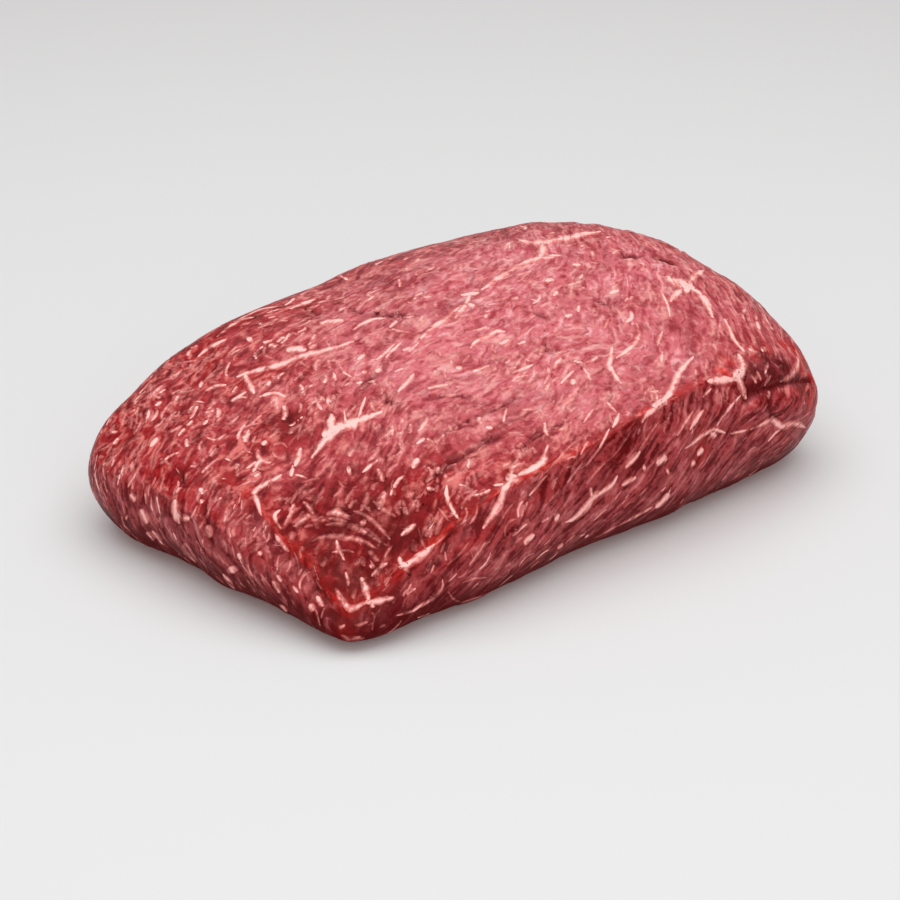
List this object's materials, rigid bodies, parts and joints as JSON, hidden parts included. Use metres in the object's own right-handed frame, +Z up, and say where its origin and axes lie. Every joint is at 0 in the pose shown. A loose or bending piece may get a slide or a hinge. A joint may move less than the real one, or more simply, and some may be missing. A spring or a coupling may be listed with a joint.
{
  "type": "sirloin tip roast",
  "caption": "Raw beef sirloin tip roast: a trimmed block of lean muscle with a domed top, upright sides and a low pointed corner, lying on its flat cut face.",
  "frame": {"origin": "on the resting face, under the middle of the bounding box", "axes": "+X along the roast towards its taller end, +Y across it towards the back, +Z up"},
  "size_m": [0.229, 0.1628, 0.0641],
  "materials": {
    "raw_beef": "moist raw beef, marbled with pale fat"
  },
  "bodies": {
    "root": {"roast": "raw_beef"}
  },
  "joints": []
}
